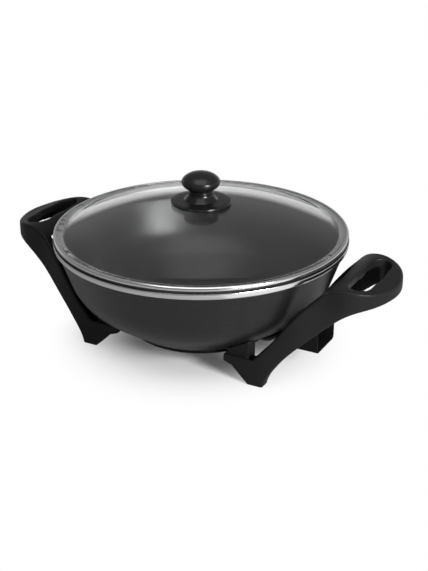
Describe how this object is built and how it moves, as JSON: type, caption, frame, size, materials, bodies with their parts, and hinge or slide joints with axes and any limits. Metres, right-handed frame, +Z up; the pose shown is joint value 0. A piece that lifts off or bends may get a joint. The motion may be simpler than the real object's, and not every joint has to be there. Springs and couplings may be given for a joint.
{
  "type": "electric wok",
  "caption": "Electric wok: a deep round bowl on moulded legs with loop handles, a mains inlet under one handle, and a domed glass lid that lifts off by its knob.",
  "frame": {"origin": "on the floor, on the axis of the bowl, midway between the soles of the four legs", "axes": "+Z up along the axis of the bowl, +X from the bowl's axis to the handle with the mains inlet under it, +Y to the left of that"},
  "size_m": [0.508, 0.3578, 0.22],
  "materials": {
    "coated_aluminium": "cast aluminium under a satin charcoal non-stick coat",
    "polished_steel": "polished, spun along the ring",
    "black_moulding": "fine satin moulded texture",
    "black_gloss_moulding": "satin to gloss moulded knob",
    "clear_glass": "clear toughened glass",
    "black_sheet": "black enamelled sheet",
    "element_sheath": "dull heat-toned sheath",
    "pin_metal": "nickel plated",
    "ceramic": "unglazed steatite",
    "fibre": "pressed mineral fibre",
    "plated_screw": "zinc plated",
    "brass_insert": "turned",
    "silicone": "soft matt"
  },
  "bodies": {
    "base": {"bowl": "coated_aluminium", "rim_ring": "polished_steel", "base_ring": "black_sheet", "base_cover": "black_sheet", "cover_screws": "plated_screw", "heating_element": "element_sheath", "insulating_pad": "fibre", "inlet_shroud": "black_sheet", "terminal_plate": "black_sheet", "terminal_bushes": "ceramic", "power_pins": "pin_metal", "probe_tube": "element_sheath", "shroud_screws": "plated_screw", "handle_right": "black_moulding", "handle_left": "black_moulding", "handle_screws": "plated_screw", "handle_washers": "plated_screw"},
    "lid": {"lid_glass": "clear_glass", "lid_band": "polished_steel", "vent_eyelet": "polished_steel", "knob_skirt": "black_gloss_moulding", "knob_head": "black_gloss_moulding", "knob_insert": "brass_insert", "knob_screw": "plated_screw", "knob_washer": "plated_screw", "knob_seal": "silicone"}
  },
  "joints": [
    {"name": "lid_lift", "type": "slide", "parent": "base", "child": "lid", "axis": [0, 0, 1], "range_m": [0, 0.15]}
  ]
}
